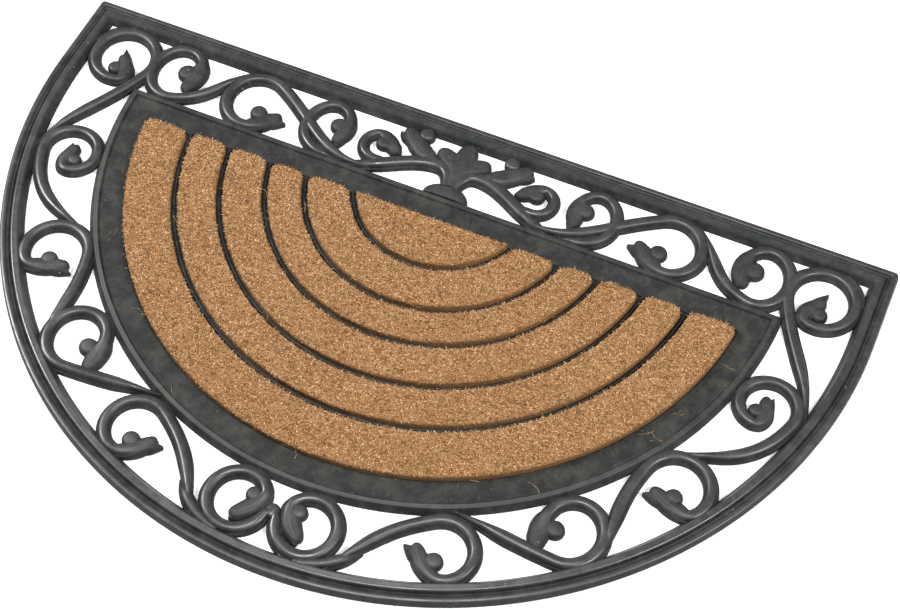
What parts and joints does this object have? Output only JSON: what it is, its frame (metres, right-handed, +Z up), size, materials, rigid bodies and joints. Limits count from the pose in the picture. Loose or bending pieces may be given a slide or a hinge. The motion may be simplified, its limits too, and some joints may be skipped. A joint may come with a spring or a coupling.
{
  "type": "half-round doormat",
  "caption": "Half-round doormat: a rubber tray with concentric coir inlays inside an openwork scroll border and a ridged frame.",
  "frame": {"origin": "middle of the outline's bounding box, on the floor under the mat", "axes": "+X along the straight edge, +Y towards the straight edge, +Z up from the floor"},
  "size_m": [0.75, 0.45, 0.0111],
  "materials": {
    "rubber": "moulded rubber, dark grey, soft sheen",
    "coir": "cut coir pile, golden brown"
  },
  "bodies": {
    "root": {"rubber_mat": "rubber", "coir_core": "coir", "coir_arc_1": "coir", "coir_arc_2": "coir", "coir_arc_3": "coir", "coir_arc_4": "coir", "coir_arc_5": "coir"}
  },
  "joints": []
}
